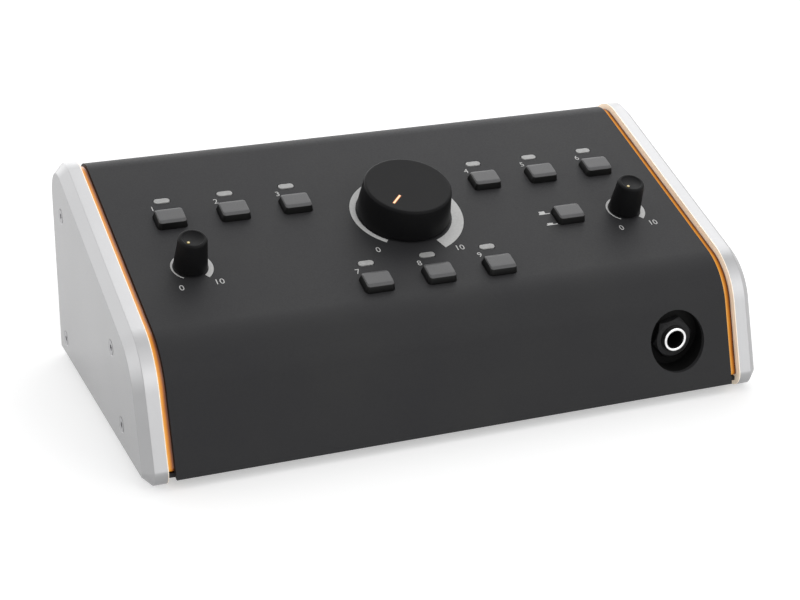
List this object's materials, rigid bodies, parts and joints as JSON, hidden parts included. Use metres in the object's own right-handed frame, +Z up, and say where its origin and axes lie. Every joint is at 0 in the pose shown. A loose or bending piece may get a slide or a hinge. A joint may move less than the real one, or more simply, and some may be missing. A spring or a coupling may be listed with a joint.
{
  "type": "studio monitor controller",
  "caption": "Sloping desktop monitor controller: steel cover, aluminium cheeks with amber edge strips, a large dial, level knobs, push buttons and a front headphone socket.",
  "frame": {"origin": "on the desk surface, under the middle of the object's bounding box", "axes": "+X to the right as seen from the front, +Y to the back, +Z up"},
  "size_m": [0.2206, 0.12, 0.0752],
  "materials": {
    "powder_coated_steel": "matt fine-texture black powder coat",
    "blasted_aluminium": "bead-blasted, clear anodised, satin",
    "amber_acrylic": "clear amber, polished edge",
    "plated_steel": "plated",
    "foot_rubber": "matt",
    "circuit_board": "green solder resist",
    "knob_plastic": "matt moulded",
    "ivory_plastic": "satin",
    "button_plastic": "satin moulded",
    "frosted_window": "frosted",
    "chrome_ring": "bright",
    "ribbon_vinyl": "satin",
    "black_plastic": "satin moulded"
  },
  "bodies": {
    "housing": {"top_cover": "powder_coated_steel", "base_plate": "powder_coated_steel", "left_cheek": "blasted_aluminium", "right_cheek": "blasted_aluminium", "left_accent_plate": "amber_acrylic", "right_accent_plate": "amber_acrylic", "left_end_plate": "powder_coated_steel", "right_end_plate": "powder_coated_steel", "cheek_screws": "plated_steel", "rubber_feet": "foot_rubber", "foot_screws": "plated_steel", "base_screws": "plated_steel", "control_board": "circuit_board", "control_board_posts": "plated_steel", "control_board_screws": "plated_steel", "main_board": "circuit_board", "main_board_standoffs": "plated_steel", "main_board_screws": "plated_steel", "main_board_parts": "black_plastic", "receiver_module": "circuit_board", "ribbon_cable": "ribbon_vinyl", "volume_control": "plated_steel", "volume_nut": "plated_steel", "aux_control": "plated_steel", "phones_control": "plated_steel", "button_switches": "black_plastic", "indicator_windows": "frosted_window", "indicator_leds": "ivory_plastic", "headphone_jack": "black_plastic", "headphone_ferrule": "chrome_ring", "headphone_nut": "black_plastic", "headphone_recess_cup": "black_plastic", "output_jacks": "black_plastic", "input_jacks": "black_plastic", "rear_jack_nuts": "black_plastic", "mini_jack": "black_plastic", "power_inlet": "black_plastic", "power_switch": "black_plastic"},
    "volume_dial": {"volume_knob": "knob_plastic", "volume_pointer": "amber_acrylic", "volume_shaft": "plated_steel"},
    "aux_dial": {"aux_knob": "knob_plastic", "aux_pointer": "ivory_plastic", "aux_shaft": "plated_steel"},
    "phones_dial": {"phones_knob": "knob_plastic", "phones_pointer": "ivory_plastic", "phones_shaft": "plated_steel"},
    "stereo_key": {"stereo_button": "button_plastic"},
    "aux_key": {"aux_button": "button_plastic"},
    "pair_key": {"pair_button": "button_plastic"},
    "speaker_1_key": {"speaker_1_button": "button_plastic"},
    "speaker_2_key": {"speaker_2_button": "button_plastic"},
    "speaker_3_key": {"speaker_3_button": "button_plastic"},
    "mono_key": {"mono_button": "button_plastic"},
    "dim_key": {"dim_button": "button_plastic"},
    "mute_key": {"mute_button": "button_plastic"},
    "selector_key": {"selector_button": "button_plastic"},
    "rocker": {"power_rocker": "black_plastic"}
  },
  "joints": [
    {"name": "volume_turn", "type": "hinge", "parent": "housing", "child": "volume_dial", "pos_m": [0, 0.00044, 0.05878], "axis": [0, -0.3387, 0.9409], "range_deg": [-270, 0]},
    {"name": "aux_turn", "type": "hinge", "parent": "housing", "child": "aux_dial", "pos_m": [-0.08, -0.01198, 0.05431], "axis": [0, -0.3387, 0.9409], "range_deg": [-280, 0]},
    {"name": "phones_turn", "type": "hinge", "parent": "housing", "child": "phones_dial", "pos_m": [0.08, -0.01198, 0.05431], "axis": [0, -0.3387, 0.9409], "range_deg": [-280, 0]},
    {"name": "stereo_press", "type": "slide", "parent": "housing", "child": "stereo_key", "axis": [0, 0.3387, -0.9409], "range_m": [0, 0.002], "stiffness_N_per_m": 400},
    {"name": "aux_press", "type": "slide", "parent": "housing", "child": "aux_key", "axis": [0, 0.3387, -0.9409], "range_m": [0, 0.002], "stiffness_N_per_m": 400},
    {"name": "pair_press", "type": "slide", "parent": "housing", "child": "pair_key", "axis": [0, 0.3387, -0.9409], "range_m": [0, 0.002], "stiffness_N_per_m": 400},
    {"name": "speaker_1_press", "type": "slide", "parent": "housing", "child": "speaker_1_key", "axis": [0, 0.3387, -0.9409], "range_m": [0, 0.002], "stiffness_N_per_m": 400},
    {"name": "speaker_2_press", "type": "slide", "parent": "housing", "child": "speaker_2_key", "axis": [0, 0.3387, -0.9409], "range_m": [0, 0.002], "stiffness_N_per_m": 400},
    {"name": "speaker_3_press", "type": "slide", "parent": "housing", "child": "speaker_3_key", "axis": [0, 0.3387, -0.9409], "range_m": [0, 0.002], "stiffness_N_per_m": 400},
    {"name": "mono_press", "type": "slide", "parent": "housing", "child": "mono_key", "axis": [0, 0.3387, -0.9409], "range_m": [0, 0.002], "stiffness_N_per_m": 400},
    {"name": "dim_press", "type": "slide", "parent": "housing", "child": "dim_key", "axis": [0, 0.3387, -0.9409], "range_m": [0, 0.002], "stiffness_N_per_m": 400},
    {"name": "mute_press", "type": "slide", "parent": "housing", "child": "mute_key", "axis": [0, 0.3387, -0.9409], "range_m": [0, 0.002], "stiffness_N_per_m": 400},
    {"name": "selector_press", "type": "slide", "parent": "housing", "child": "selector_key", "axis": [0, 0.3387, -0.9409], "range_m": [0, 0.002], "stiffness_N_per_m": 400},
    {"name": "power_rock", "type": "hinge", "parent": "housing", "child": "rocker", "pos_m": [0.08, 0.05546, 0.046], "axis": [1, 0, 0], "range_deg": [-20, 0]}
  ]
}
